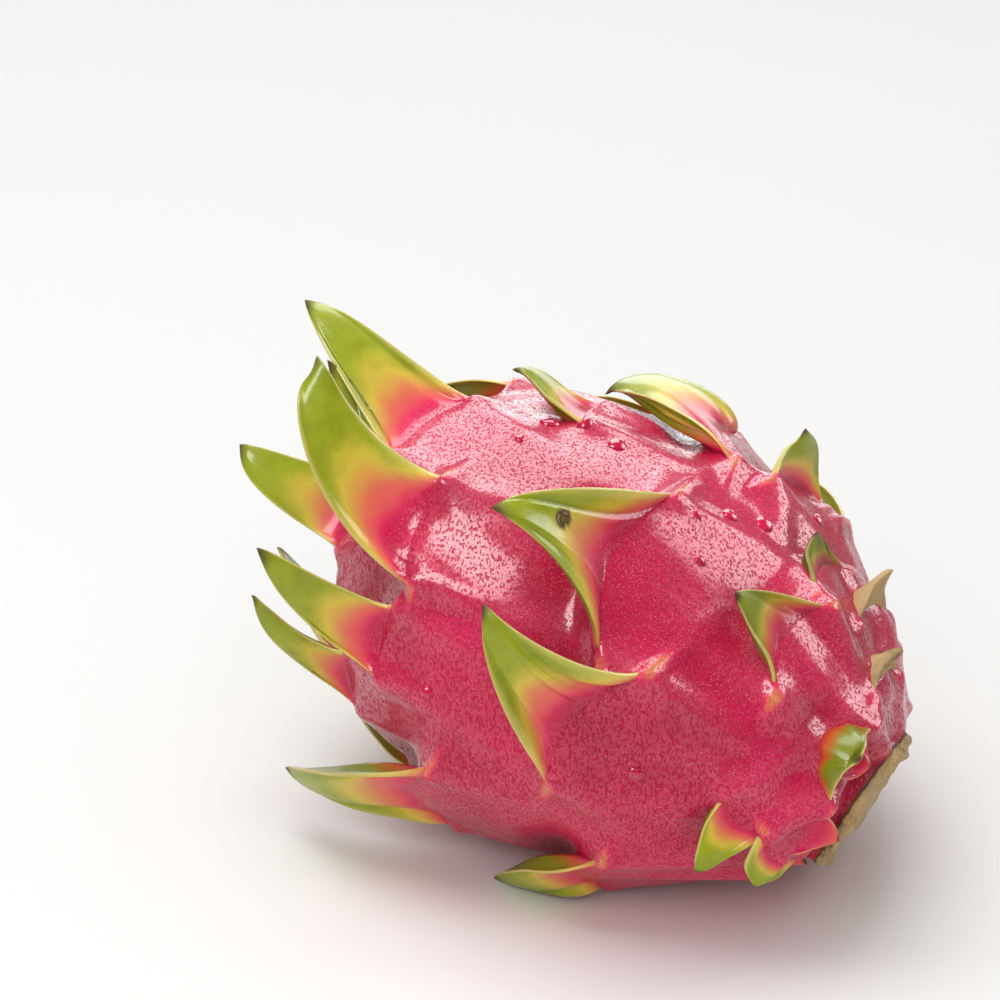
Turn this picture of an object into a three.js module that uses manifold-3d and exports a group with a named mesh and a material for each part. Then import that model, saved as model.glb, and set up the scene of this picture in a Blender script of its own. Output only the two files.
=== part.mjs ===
// Dragon fruit lying on its side, one grown piece: body, scales, flower scar and cut stem.
// Sizes in millimetres. +Z is up, +X is the stem end, -Y is the front, Z = 0 is the table.
import * as THREE from "three";
import { mergeVertices } from "three/addons/utils/BufferGeometryUtils.js";
import Module from "manifold-3d";

const DEG = Math.PI / 180;
const TURN = 2 * Math.PI;
const ROOM = 400; // box above the table that holds the whole fruit

// Body
const BODY_LENGTH = 107;
const BODY_DIAMETER = 78;
const EGG = 0.09; // share by which the flower half is fuller than the stem half
const BODY_TILT = 17 * DEG; // stem end tipped down
const BODY_MIDDLE = new THREE.Vector3(1, 0, 39.8);
const STEM_BEND = 12 * DEG;
const STEM_BEND_TOWARD = 218 * DEG;
const STEM_BEND_START = 25; // distance along the axis from the middle
const WAVE_HEIGHT = 0.6;
const FLAT_DEPTH = 3; // flatter place on the top of the body
const FLAT_ALONG = 72 * DEG;
const FLAT_AROUND = -8 * DEG;
const FLAT_SIZE = 34 * DEG;
const BODY_ROWS = 42;
const BODY_COLUMNS = 38;

// Flower scar and cut stem
const SCAR_DEPTH = 5;
const SCAR_RADIUS = 9;
const STUB_RADIUS = 13.2;
const STUB_START = 42;
const STUB_END = 53.4;
const STUB_HOLLOW = 3;
const STUB_FOLD = 0.6;
const STUB_SIDES = 28;

// Swelling of the skin under each scale
const SWELL = 0.36; // height as a share of the half width of the root
const SWELL_LENGTH = 24;
const SWELL_DROP = 2.4;
const SWELL_FULL = 8; // half width of a root that has the whole swelling
const ROOT_BOW = 0.3; // how far the root line bows back at its ends
const HOLLOW_DEPTH = 1.5;
const HOLLOW_REACH = 5;
const RIDGE_HEIGHT = 1.4;
const RIDGE_LENGTH = 36;
const RIDGE_WIDTH = 2.8;
const POLE_RADIUS = 20; // swelling fades inside this radius near both ends

// Scale blades
const ROOT_SINK = 0.2;
const ROOT_REACH = 6; // how far the buried end runs back under the skin
const ROOT_TOP = 2;
const ROOT_FLOOR = 5;
const BLADE_THICK = 4.0;
const BLADE_THIN = 1.5;
const MARGIN_THICK = 0.8;
const CUP = 0.15;
const MARGIN_WAVE = 0.5;
const ARRIVE = 0.9;
const TAPER = 0.79; // lower is blunter toward the tip
const FLARE = 0.35; // share of the blade over which it widens toward its root
const CORNER = 0.14; // the root line runs past the blade's margins by this share
const CORNER_FLARE = 0.07;
const CORNER_SINK = 0.9;
const LEVEL = 0.9; // how fully the blade leaves along the skin
const LONG_STATIONS = [0, 0.13, 0.3, 0.5, 0.65, 0.82, 0.94];
const SHORT_STATIONS = [0, 0.4, 0.85];
const SHORT_WIDTH = 6; // narrower roots than this get the short list
const OUTER = [-1, -0.5, 0, 0.5, 1];
const INNER = [1, 0, -1];
const SMALL = 0.02;

// Scales that show from the front. Angles in degrees: along from the flower pole, around from the
// top toward the front. The tip is forward, sideways and outward of the root, in mm.
const scale = (along, around, turn, root, width, tip, rise, pitch) => ({
  along, around, turn, root, width, tip, rise, pitch,
});
const FRONT_SCALES = [
  scale(102.9, 71.8, -15, 11.7, 5.0, [20.5, -13.7, 9.0], 58, -47), // middle of the front
  scale(94.0, 35.6, 13, 14.7, 4.2, [17.7, 9.0, 13.9], 69, -57), // top, with the shoulder
  scale(124.6, 21.9, 7, 8.1, 3.8, [10.4, 4.5, 6.4], 23, 27), // right
  scale(146, 39, 0, 6.5, 4.6, [2, 0, 6], 30, -20), // small cup by the stem
  scale(136, 84, 60, 4.6, 3.6, [4, 10, 4], 25, -30), // strap, low on the right
  scale(146, 98, 50, 6.5, 5.0, [3, 4.5, 2.5], 20, -20), // lobe below the stem
  scale(110.3, 133.2, -8, 9.1, 5.9, [18.6, 12.7, 2.7], 46, -10), // front foot, flat on the table
  scale(77.4, 128.4, 3, 11.6, 8.5, [28.1, 14.7, 9.9], 45, -16), // low on the left
  scale(60.8, 87.2, 8, 6.5, 5.7, [17.7, -9.7, 17.8], 45, 23), // left, outer
  scale(52.4, 116.2, 25, 6.0, 3.8, [14.1, -14.9, 11.7], 49, 6), // left, inner
  scale(28.0, 69.5, 23, 6.9, 5.9, [11.7, -0.1, 21.1], 43, 6), // crown, front
  scale(58.4, 55.2, 16, 8.4, 7.3, [23.3, -16.3, 18.8], 30, -37), // largest one
  scale(40.7, 52.3, 2, 6.0, 4.0, [15.6, -14.4, 14.3], 22, 67), // narrow one behind the largest
  scale(40.4, 22.4, -13, 8.5, 6.0, [22.1, -5.9, 23.6], 45, 9), // crown, top
  scale(65.4, -9.7, 13, 5.5, 4.9, [11.8, 7.2, 6.7], 24, -34), // low one on the top line
  scale(87.7, -28.4, 23, 10.0, 8.5, [25.0, -7.9, -7.3], 48, -95), // arched over, behind the top
  scale(103.6, -31.0, -22, 7.7, 6.4, [4.8, 1.4, 8.6], 77, 15), // upright, behind the top
  scale(121, -12, 0, 7.0, 4.5, [5, 0, 3], 30, 20), // shoulder toward the stem
  scale(131, -24, 0, 5.5, 4.0, [4, 0, 6], 60, 60), // dried one
  scale(143, -10, 0, 5.5, 4.0, [3, 0, 4], 60, 60), // dried one nearer the stem
  scale(110, 220, -20, 10, 5.5, [22, -10.5, 0.5], 10, -10), // rear foot, flat on the table
];

// Scales round the far side, in rows: along, first around, step, count, root, width, forward, outward.
const BACK_ROWS = [
  [40, 148, 39, 5, 9.0, 7.0, 22, 6],
  [64, 166, 43, 3, 9.5, 7.0, 22, 6],
  [66, 292, 0, 1, 8.5, 6.0, 18, 2],
  [86, 192, 40, 3, 10.0, 6.5, 20, 4],
  [110, 262, 36, 2, 10.0, 6.5, 18, 5],
  [132, 226, 42, 2, 9.0, 5.5, 13, 5],
  [149, 212, 52, 2, 7.0, 4.5, 6, 3],
];
const BACK_RISE = 24;
const BACK_PITCH = 10;

// Crumpled lobes that lean toward the cut stem
const LOBES = { count: 6, along: 150, first: 38, step: 46, root: 5.0, width: 4.4, back: 5.0, outward: 1.6 };
const LOBE_RISE = 15;
const LOBE_PITCH = 20;

// Seeded draw between 0 and 1.
function draw(index, salt) {
  const x = Math.sin(index * 12.9898 + salt * 78.233) * 43758.5453;
  return x - Math.floor(x);
}

function allScales() {
  const list = [...FRONT_SCALES];
  let k = 0;
  for (const [along, first, step, count, root, width, forward, outward] of BACK_ROWS) {
    for (let i = 0; i < count; i++) {
      const a = draw(k, 1) - 0.5;
      const b = draw(k, 2) - 0.5;
      const tip = [forward * (1 + 0.2 * b), 12 * a, outward];
      const around = first + i * step + 8 * b;
      list.push(scale(along + 6 * a, around, 20 * a, root, width, tip, BACK_RISE, BACK_PITCH));
      k += 1;
    }
  }
  for (let i = 0; i < LOBES.count; i++) {
    const a = draw(i, 3) - 0.5;
    const b = draw(i, 4) - 0.5;
    const around = LOBES.first + i * LOBES.step + 14 * a;
    const tip = [-LOBES.back - 2 * b, 4 * a, LOBES.outward + 1.5 * b];
    const turn = 180 + 30 * a;
    list.push(scale(LOBES.along + 4 * b, around, turn, LOBES.root + b, LOBES.width, tip, LOBE_RISE, LOBE_PITCH));
  }
  return list.map((s, number) => ({ ...s, number, reach: reachAt(s.along * DEG) }));
}

// Outline of the body: distance along the axis and radius at an angle from the flower pole.
function outline(along) {
  return {
    x: (-Math.cos(along) * BODY_LENGTH) / 2,
    r: (BODY_DIAMETER / 2) * Math.sin(along) * (1 + EGG * Math.cos(along)),
  };
}

// Length along the skin from the flower pole, and the angle that belongs to a length.
const STEPS = 360;
const REACH = [0];
for (let i = 1; i <= STEPS; i++) {
  const a = outline(((i - 1) * Math.PI) / STEPS);
  const b = outline((i * Math.PI) / STEPS);
  REACH.push(REACH[i - 1] + Math.hypot(b.x - a.x, b.r - a.r));
}

function reachAt(along) {
  const f = Math.min(Math.max(along / Math.PI, 0), 1) * STEPS;
  const i = Math.min(Math.floor(f), STEPS - 1);
  return REACH[i] + (f - i) * (REACH[i + 1] - REACH[i]);
}

function alongAt(reach) {
  let i = 0;
  while (i < STEPS - 1 && REACH[i + 1] < reach) {
    i += 1;
  }
  const f = (reach - REACH[i]) / (REACH[i + 1] - REACH[i]);
  return (Math.min(Math.max(i + f, 0), STEPS) * Math.PI) / STEPS;
}

const SCALES = allScales();

function wrapped(angle) {
  return angle - TURN * Math.round(angle / TURN);
}

// How far the root line lies behind its middle, at a share q of the root's half width.
function bow(root, q) {
  return ROOT_BOW * root * (q < 1 ? q ** 1.6 : 1 + 0.4 * (q - 1));
}

// Height of the skin over the plain body.
function relief(along, around) {
  const { r } = outline(along);
  const reach = reachAt(along);
  let h = 0;
  for (const s of SCALES) {
    const fwd = s.reach - reach;
    const side = r * wrapped(around - s.around * DEG);
    const a = fwd * Math.cos(s.turn * DEG) + side * Math.sin(s.turn * DEG);
    const b = side * Math.cos(s.turn * DEG) - fwd * Math.sin(s.turn * DEG);
    const q = Math.abs(b) / s.root;
    const t = a + bow(s.root, q);
    const size = Math.min(1, s.root / SWELL_FULL);
    const climb = Math.max(0, 1 + t / (SWELL_LENGTH * size)) ** 1.8;
    const ramp = t < 0 ? climb : Math.exp(-((t / (SWELL_DROP + 1.6 * q * q)) ** 2));
    h += (SWELL * s.root * size ** 2 * ramp) / (1 + (q / 1.15) ** 4);
    h -= HOLLOW_DEPTH * Math.exp(-(((a - HOLLOW_REACH) / 4.5) ** 2) - (b / (0.9 * s.root)) ** 2);
    const line = s.root * (0.95 - 0.01 * Math.min(a, 0));
    const fade = Math.min(Math.max(1 + a / RIDGE_LENGTH, 0), 1) ** 1.2;
    const cut = 1 / (1 + Math.exp((a + ROOT_BOW * s.root) / 1.2));
    h += RIDGE_HEIGHT * fade * cut * Math.exp(-(((Math.abs(b) - line) / RIDGE_WIDTH) ** 2));
  }
  h += WAVE_HEIGHT * Math.sin(3 * around + 1) * Math.sin(2 * along + 0.4);
  const top = ((along - FLAT_ALONG) / FLAT_SIZE) ** 2 + (wrapped(around - FLAT_AROUND) / FLAT_SIZE) ** 2;
  h -= FLAT_DEPTH * Math.exp(-top);
  const scar = SCAR_DEPTH * Math.exp(-((reach / SCAR_RADIUS) ** 2));
  return h * Math.min(1, r / POLE_RADIUS) ** 0.7 - scar;
}

// Places in the body's own frame: x along the axis, y toward the top, z toward the front.
function outwardAt(along, around) {
  const dx = (Math.sin(along) * BODY_LENGTH) / 2;
  const dr = (BODY_DIAMETER / 2) * (Math.cos(along) * (1 + EGG * Math.cos(along)) - EGG * Math.sin(along) ** 2);
  const k = Math.hypot(dx, dr);
  return new THREE.Vector3(-dr / k, (dx / k) * Math.cos(around), (dx / k) * Math.sin(around));
}

function skin(along, around, sink = 0) {
  const { x, r } = outline(along);
  const p = new THREE.Vector3(x, r * Math.cos(around), r * Math.sin(around));
  return p.addScaledVector(outwardAt(along, around), relief(along, around) - sink);
}

// Skin at a place given forward and sideways of a scale's root, both turned with the scale.
function skinBeside(s, a, b, sink) {
  const fwd = a * Math.cos(s.turn * DEG) - b * Math.sin(s.turn * DEG);
  const side = a * Math.sin(s.turn * DEG) + b * Math.cos(s.turn * DEG);
  const along = alongAt(s.reach - fwd);
  return skin(along, s.around * DEG + side / Math.max(outline(along).r, 3), sink);
}

// From the body's own frame to the part: bend the stem end, tip the body and set it in place.
const AXIS = new THREE.Vector3(Math.cos(BODY_TILT), 0, -Math.sin(BODY_TILT));
const UPWARD = new THREE.Vector3(Math.sin(BODY_TILT), 0, Math.cos(BODY_TILT));
const FRONT = new THREE.Vector3(0, -1, 0);

function placed(p) {
  const c = Math.cos(STEM_BEND_TOWARD);
  const s = Math.sin(STEM_BEND_TOWARD);
  let x = p.x;
  let d = p.y * c + p.z * s;
  const e = p.z * c - p.y * s;
  if (x > STEM_BEND_START) {
    const curve = STEM_BEND / (BODY_LENGTH / 2 - STEM_BEND_START);
    const angle = curve * (x - STEM_BEND_START);
    x = STEM_BEND_START + Math.sin(angle) / curve - d * Math.sin(angle);
    d = (1 - Math.cos(angle)) / curve + d * Math.cos(angle);
  }
  return BODY_MIDDLE.clone()
    .addScaledVector(AXIS, x)
    .addScaledVector(UPWARD, d * c - e * s)
    .addScaledVector(FRONT, d * s + e * c);
}

function geometryOf(points, triangles) {
  const g = new THREE.BufferGeometry();
  g.setAttribute("position", new THREE.Float32BufferAttribute(points.flatMap((p) => [p.x, p.y, p.z]), 3));
  g.setIndex(triangles);
  return g;
}

// Closed solid from rings of equal count, with one point closing each end.
function lofted(rings, start, end) {
  const n = rings[0].length;
  const points = [start, ...rings.flat(), end];
  const last = points.length - 1;
  const triangles = [];
  for (let j = 0; j < n; j++) {
    const k = (j + 1) % n;
    triangles.push(0, 1 + j, 1 + k);
    for (let i = 0; i + 1 < rings.length; i++) {
      const a = 1 + i * n;
      const b = a + n;
      triangles.push(a + j, b + j, b + k, a + j, b + k, a + k);
    }
    const z = 1 + (rings.length - 1) * n;
    triangles.push(last, z + k, z + j);
  }
  return geometryOf(points.map(placed), triangles);
}

function body() {
  const rings = [];
  for (let i = 1; i < BODY_ROWS; i++) {
    const along = (i * Math.PI) / BODY_ROWS;
    rings.push(Array.from({ length: BODY_COLUMNS }, (_, j) => skin(along, (j * TURN) / BODY_COLUMNS)));
  }
  return lofted(rings, skin(0, 0), skin(Math.PI, 0));
}

// Cubic path between two points with a leaving and an arriving direction, and its heading.
function pathPoint(from, leave, to, arrive, u) {
  return from.clone().multiplyScalar(2 * u ** 3 - 3 * u ** 2 + 1)
    .addScaledVector(leave, u ** 3 - 2 * u ** 2 + u)
    .addScaledVector(to, 3 * u ** 2 - 2 * u ** 3)
    .addScaledVector(arrive, u ** 3 - u ** 2);
}

function pathHeading(from, leave, to, arrive, u) {
  return from.clone().multiplyScalar(6 * u ** 2 - 6 * u)
    .addScaledVector(leave, 3 * u ** 2 - 4 * u + 1)
    .addScaledVector(to, 6 * u - 6 * u ** 2)
    .addScaledVector(arrive, 3 * u ** 2 - 2 * u)
    .normalize();
}

// One scale: a cupped blade that leaves the crest of its swelling and curves out to the tip.
function blade(s) {
  const out = outwardAt(s.along * DEG, s.around * DEG);
  const side = new THREE.Vector3(0, -Math.sin(s.around * DEG), Math.cos(s.around * DEG));
  const fwd = new THREE.Vector3().crossVectors(side, out);
  const cos = Math.cos(s.turn * DEG);
  const sin = Math.sin(s.turn * DEG);
  const ahead = fwd.clone().multiplyScalar(cos).addScaledVector(side, sin);
  const across = side.clone().multiplyScalar(cos).addScaledVector(fwd, -sin);
  const root = skin(s.along * DEG, s.around * DEG);
  const flat = fwd.clone().multiplyScalar(s.tip[0]).addScaledVector(side, s.tip[1]);
  const tip = root.clone().add(flat).addScaledVector(out, s.tip[2]);
  const length = tip.distanceTo(root);
  const lean = (way, angle, size) =>
    way.clone().multiplyScalar(size * Math.cos(angle * DEG)).addScaledVector(out, size * Math.sin(angle * DEG));
  const leave = lean(ahead, s.rise, length);
  const arrive = lean(flat.normalize(), s.pitch, ARRIVE * length);

  const behind = (v) => bow(s.root, Math.abs(v) * (1 + CORNER));
  const beside = (v) => v * s.root * (1 + CORNER);
  const foot = OUTER.map((v) => skinBeside(s, -behind(v), beside(v), ROOT_SINK + CORNER_SINK * Math.abs(v) ** 8));
  const section = (u) => {
    const centre = pathPoint(root, leave, tip, arrive, u);
    const heading = pathHeading(root, leave, tip, arrive, u);
    const wide = across.clone().addScaledVector(heading, -across.dot(heading)).normalize();
    const lift = new THREE.Vector3().crossVectors(heading, wide);
    const flared = (s.root - s.width) * Math.exp(-u / FLARE) + CORNER * s.root * Math.exp(-u / CORNER_FLARE);
    const half = s.width * (1 - u * u) ** TAPER + flared * (1 - u);
    const cup = (CUP + 0.1 * u) * Math.min(half, s.width);
    const ripple = MARGIN_WAVE * THREE.MathUtils.smoothstep(u, 0.1, 0.5) * (1 - u);
    const points = OUTER.map((v) => {
      const wave = ripple * Math.sin(9 * u + 5 * draw(s.number, 7) + 2 * Math.sign(v)) * v ** 4;
      return centre.clone().addScaledVector(wide, v * half).addScaledVector(lift, wave - cup * v * v);
    });
    return { points, lift };
  };
  const shift = section(0).points.map((p, i) => foot[i].clone().sub(p));
  const outerAt = (u) => section(u).points.map((p, i) => p.addScaledVector(shift[i], (1 - u) ** 3));
  const slope = outerAt(SMALL).map((p, i) => p.sub(foot[i]).divideScalar(SMALL));
  const raised = OUTER.map((v, i) => {
    const run = skinBeside(s, -behind(v), beside(v), 0).sub(skinBeside(s, -behind(v) - 1, beside(v), 0));
    const aside = skinBeside(s, -behind(v), beside(v) + 1, 0).sub(skinBeside(s, -behind(v), beside(v) - 1, 0));
    const normal = run.cross(aside).normalize();
    return normal.multiplyScalar(LEVEL * normal.dot(slope[i]));
  });

  const rings = [];
  for (const u of s.root < SHORT_WIDTH ? SHORT_STATIONS : LONG_STATIONS) {
    const { lift } = section(u);
    const outer = outerAt(u).map((p, i) => p.addScaledVector(raised[i], -u * (1 - u) ** 3));
    const middle = BLADE_THIN + (BLADE_THICK - BLADE_THIN) * (1 - u) ** 2;
    const thick = (v) => MARGIN_THICK + (middle - MARGIN_THICK) * (1 - v * v);
    const inner = INNER.map((v) => outer[OUTER.indexOf(v)].clone().addScaledVector(lift, -thick(v)));
    rings.push([...outer, ...inner]);
  }
  const sunk = (v, depth) => skinBeside(s, -ROOT_REACH - behind(v), 0.9 * beside(v), depth);
  const back = [...OUTER.map((v) => sunk(v, ROOT_TOP)), ...INNER.map((v) => sunk(v, ROOT_FLOOR))];
  const middle = back.reduce((sum, p) => sum.add(p), new THREE.Vector3()).divideScalar(back.length);
  return lofted([back, ...rings], middle, tip);
}

// Cork ring of the cut stem, turned about the body's axis.
function stub() {
  const ring = (x, r) =>
    Array.from({ length: STUB_SIDES }, (_, j) => {
      const angle = (j * TURN) / STUB_SIDES;
      const fold = STUB_FOLD * Math.sin(7 * angle + 1.5 * Math.sin(2 * angle) + 0.8);
      const reach = r + fold + 0.4 * (draw(j, 5) - 0.5);
      return new THREE.Vector3(x + 0.5 * Math.sin(5 * angle + 1), reach * Math.cos(angle), reach * Math.sin(angle));
    });
  const rings = [
    ring(STUB_START, STUB_RADIUS - 1),
    ring(STUB_END - 0.6, STUB_RADIUS),
    ring(STUB_END, STUB_RADIUS - 0.8),
    ring(STUB_END - 1, STUB_RADIUS - 3.2),
    ring(STUB_END - STUB_HOLLOW, STUB_RADIUS - 6.5),
  ];
  return lofted(rings, new THREE.Vector3(STUB_START, 0, 0), new THREE.Vector3(STUB_END - STUB_HOLLOW, 0, 0));
}

// Join everything into one solid and cut it level where it meets the table.
const wasm = await Module();
wasm.setup();

function solidOf(geometry) {
  return new wasm.Manifold(
    new wasm.Mesh({
      numProp: 3,
      vertProperties: new Float32Array(geometry.attributes.position.array),
      triVerts: new Uint32Array(geometry.index.array),
    }),
  );
}

function outwardFacing(geometry) {
  const p = geometry.attributes.position.array;
  const t = geometry.index.array;
  let volume = 0;
  for (let i = 0; i < t.length; i += 3) {
    const [a, b, c] = [0, 1, 2].map((k) => new THREE.Vector3().fromArray(p, 3 * t[i + k]));
    volume += a.dot(b.cross(c));
  }
  if (volume < 0) {
    for (let i = 0; i < t.length; i += 3) {
      [t[i + 1], t[i + 2]] = [t[i + 2], t[i + 1]];
    }
  }
  return geometry;
}

let fruit = solidOf(outwardFacing(body())).add(solidOf(outwardFacing(stub())));
for (const s of SCALES) {
  fruit = fruit.add(solidOf(outwardFacing(blade(s))));
}
const room = new THREE.BoxGeometry(ROOM, ROOM, ROOM).translate(0, 0, ROOM / 2);
room.deleteAttribute("normal");
room.deleteAttribute("uv");
fruit = fruit.intersect(solidOf(mergeVertices(room)));

const joined = fruit.getMesh();
const shape = new THREE.BufferGeometry();
shape.setAttribute("position", new THREE.BufferAttribute(joined.vertProperties.slice(), 3));
shape.setIndex(new THREE.BufferAttribute(joined.triVerts.slice(), 1));
shape.computeVertexNormals();

const mesh = new THREE.Mesh(
  shape,
  new THREE.MeshStandardMaterial({ name: "fruit_skin", color: 0xd21f5b, roughness: 0.4, metalness: 0 }),
);
mesh.name = "dragon_fruit";
const group = new THREE.Group();
group.name = "dragon_fruit";
group.add(mesh);

export default group;
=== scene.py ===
import math

import bpy
import numpy as np
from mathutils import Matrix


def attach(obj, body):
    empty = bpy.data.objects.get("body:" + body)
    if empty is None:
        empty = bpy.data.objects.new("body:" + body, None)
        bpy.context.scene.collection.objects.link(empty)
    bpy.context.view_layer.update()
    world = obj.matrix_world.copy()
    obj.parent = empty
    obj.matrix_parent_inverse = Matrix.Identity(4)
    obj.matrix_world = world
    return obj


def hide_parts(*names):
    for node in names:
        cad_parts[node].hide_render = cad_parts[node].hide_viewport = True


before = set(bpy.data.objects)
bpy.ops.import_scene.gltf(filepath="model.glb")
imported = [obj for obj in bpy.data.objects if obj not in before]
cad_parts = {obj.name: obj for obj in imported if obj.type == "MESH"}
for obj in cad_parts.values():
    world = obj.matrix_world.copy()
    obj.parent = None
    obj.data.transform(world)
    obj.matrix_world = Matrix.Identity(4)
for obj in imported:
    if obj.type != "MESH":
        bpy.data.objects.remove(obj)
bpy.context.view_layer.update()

bl_info = {
    "name": "Dragon fruit",
    "version": (1, 0, 0),
    "blender": (4, 5, 0),
    "location": "3D View > Sidebar > Fruit",
    "description": "A dragon fruit lying on its side, with its leafy scales, cut stem and a pale stage",
    "category": "Add Mesh",
}

# Lengths are millimetres until a mesh is filled, angles are degrees in the tables.
MM = 0.001
TURN = 2 * math.pi

# Body: an egg along an axis, bent a little at the stem end. Same values as the part's source.
BODY_LENGTH = 107.0
BODY_DIAMETER = 78.0
EGG = 0.09
BODY_TILT = math.radians(17)
BODY_MIDDLE = np.array([1.0, 0.0, 39.8])
STEM_BEND = math.radians(12)
STEM_BEND_TOWARD = math.radians(218)
STEM_BEND_START = 25.0
WAVE_HEIGHT = 0.6
FLAT_DEPTH = 3.0
FLAT_ALONG = math.radians(72)
FLAT_AROUND = math.radians(-8)
FLAT_SIZE = math.radians(34)
AXIS = np.array([math.cos(BODY_TILT), 0.0, -math.sin(BODY_TILT)])
UPWARD = np.array([math.sin(BODY_TILT), 0.0, math.cos(BODY_TILT)])
FRONT = np.array([0.0, -1.0, 0.0])

# Flower scar and cut stem
SCAR_DEPTH = 5.0
SCAR_RADIUS = 9.0
STUB_RADIUS = 13.2
STUB_START = 42.0
STUB_END = 53.4
STUB_HOLLOW = 3.0
STUB_FOLD = 0.6
STEM_FACE = 10.0

# Swelling of the skin under each scale. A root of at least the full half width has all of it.
SWELL = 0.36
SWELL_LENGTH = 24.0
SWELL_DROP = 2.4
SWELL_FULL = 8
SWELL_SPREAD = 1.15
CLIMB_POWER = 1.8
DROP_GROWTH = 1.6
ROOT_BOW = 0.3
WING_HEIGHT = 1.3
WING_START = 0.7
WING_END = 2.0
WING_FULL = 9
HOLLOW_DEPTH = 1.5
HOLLOW_REACH = 5.0
HOLLOW_LENGTH = 4.5
HOLLOW_WIDTH = 0.9
RIDGE_HEIGHT = 1.4
RIDGE_LENGTH = 36.0
RIDGE_WIDTH = 2.8
RIDGE_START = 0.95
RIDGE_SPREAD = 0.01
RIDGE_FRONT = 1.2
POLE_RADIUS = 20.0

# Scale blades. Three values differ from the part's source: roots are sunk less, and taper and margin
# wave keep these finer blades inside the box of the solid. The slope step is half of how far apart
# the points lie that give the skin's slope at a root.
ROOT_REACH = 6.0
ROOT_SINK = 0.06
BLADE_THICK = 4.0
BLADE_THIN = 1.5
MARGIN_THICK = 0.8
CUP = 0.15
MARGIN_WAVE = 0.4
ARRIVE = 0.9
TAPER = 0.88
FLARE = 0.35
CORNER = 0.14
CORNER_FLARE = 0.07
CORNER_SINK = 0.9
SLOPE_STEP = 0.4

# Scales placed one by one, the last of them under the far side: along, around, turn, root, width, tip,
# rise, pitch, dried share. The rows with decimals in their first two angles come from a least-squares
# fit to the scales' margins, and the others were given one by one.
FRONT_SCALES = [
    (102.9, 71.8, -15, 11.7, 5.0, (20.5, -13.7, 9.0), 58, -47, 0.0),
    (94.0, 35.6, 13, 14.7, 4.2, (17.7, 9.0, 13.9), 69, -57, 0.0),
    (124.6, 21.9, 7, 8.1, 3.8, (10.4, 4.5, 6.4), 23, 27, 0.1),
    (146, 39, 0, 6.5, 4.6, (2, 0, 6), 30, -20, 0.0),
    (136, 84, 60, 4.6, 3.6, (4, 10, 4), 25, -30, 0.0),
    (146, 98, 50, 6.5, 5.0, (3, 4.5, 2.5), 20, -20, 0.0),
    (110.3, 133.2, -8, 9.1, 5.9, (18.6, 12.7, 2.7), 46, -10, 0.0),
    (77.4, 128.4, 3, 11.6, 8.5, (28.1, 14.7, 9.9), 45, -16, 0.0),
    (60.8, 87.2, 8, 6.5, 5.7, (17.7, -9.7, 17.8), 45, 23, 0.0),
    (52.4, 116.2, 25, 6.0, 3.8, (14.1, -14.9, 11.7), 49, 6, 0.0),
    (28.0, 69.5, 23, 6.9, 5.9, (11.7, -0.1, 21.1), 43, 6, 0.0),
    (58.4, 55.2, 16, 8.4, 7.3, (23.3, -16.3, 18.8), 30, -37, 0.0),
    (40.7, 52.3, 2, 6.0, 4.0, (15.6, -14.4, 14.3), 22, 67, 0.0),
    (40.4, 22.4, -13, 8.5, 6.0, (22.1, -5.9, 23.6), 45, 9, 0.0),
    (65.4, -9.7, 13, 5.5, 4.9, (11.8, 7.2, 6.7), 24, -34, 0.0),
    (87.7, -28.4, 23, 10.0, 8.5, (25.0, -7.9, -7.3), 48, -95, 0.0),
    (103.6, -31.0, -22, 7.7, 6.4, (4.8, 1.4, 8.6), 77, 15, 0.0),
    (121, -12, 0, 7.0, 4.5, (5, 0, 3), 30, 20, 0.3),
    (131, -24, 0, 5.5, 4.0, (4, 0, 6), 60, 60, 1.0),
    (143, -10, 0, 5.5, 4.0, (3, 0, 4), 60, 60, 1.0),
    (110, 220, -20, 10, 5.5, (22, -10.5, 0.5), 10, -10, 0.0),
]

# Scales round the far side: along, first around, step, count, root, width, forward, outward.
BACK_ROWS = [
    (40, 148, 39, 5, 9.0, 7.0, 22, 6),
    (64, 166, 43, 3, 9.5, 7.0, 22, 6),
    (66, 292, 0, 1, 8.5, 6.0, 18, 2),
    (86, 192, 40, 3, 10.0, 6.5, 20, 4),
    (110, 262, 36, 2, 10.0, 6.5, 18, 5),
    (132, 226, 42, 2, 9.0, 5.5, 13, 5),
    (149, 212, 52, 2, 7.0, 4.5, 6, 3),
]
BACK_RISE = 24
BACK_PITCH = 10

# Crumpled lobes that lean toward the cut stem
LOBE_COUNT = 6
LOBE_ALONG = 150
LOBE_FIRST = 38
LOBE_STEP = 46
LOBE_ROOT = 5.0
LOBE_WIDTH = 4.4
LOBE_BACK = 5.0
LOBE_OUTWARD = 1.6
LOBE_RISE = 15
LOBE_PITCH = 20

# Soft lights: name, direction from the fruit, distance, width, height (metres) and power (watts).
# The cards are seen only in reflections and the fill lights only light the surface evenly.
LIGHTS = (
    ("top_card", (-0.42, 0.38, 0.82), 0.9, 0.80, 0.60, 11.5),
    ("back_card", (-0.45, 0.88, 0.22), 0.9, 0.80, 0.35, 3.0),
    ("right_card", (0.60, 0.58, 0.55), 0.8, 0.55, 0.50, 7.0),
    ("left_card", (-0.33, -0.62, 0.68), 0.9, 0.34, 0.34, 5.0),
    ("key_fill", (-0.20, -0.05, 0.95), 1.5, 1.20, 1.20, 14.0),
    ("high_fill", (0.10, -0.25, 1.0), 1.6, 3.00, 3.00, 19.0),
    ("front_fill", (0.30, -0.80, 0.60), 1.4, 1.40, 1.00, 5.5),
)

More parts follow.
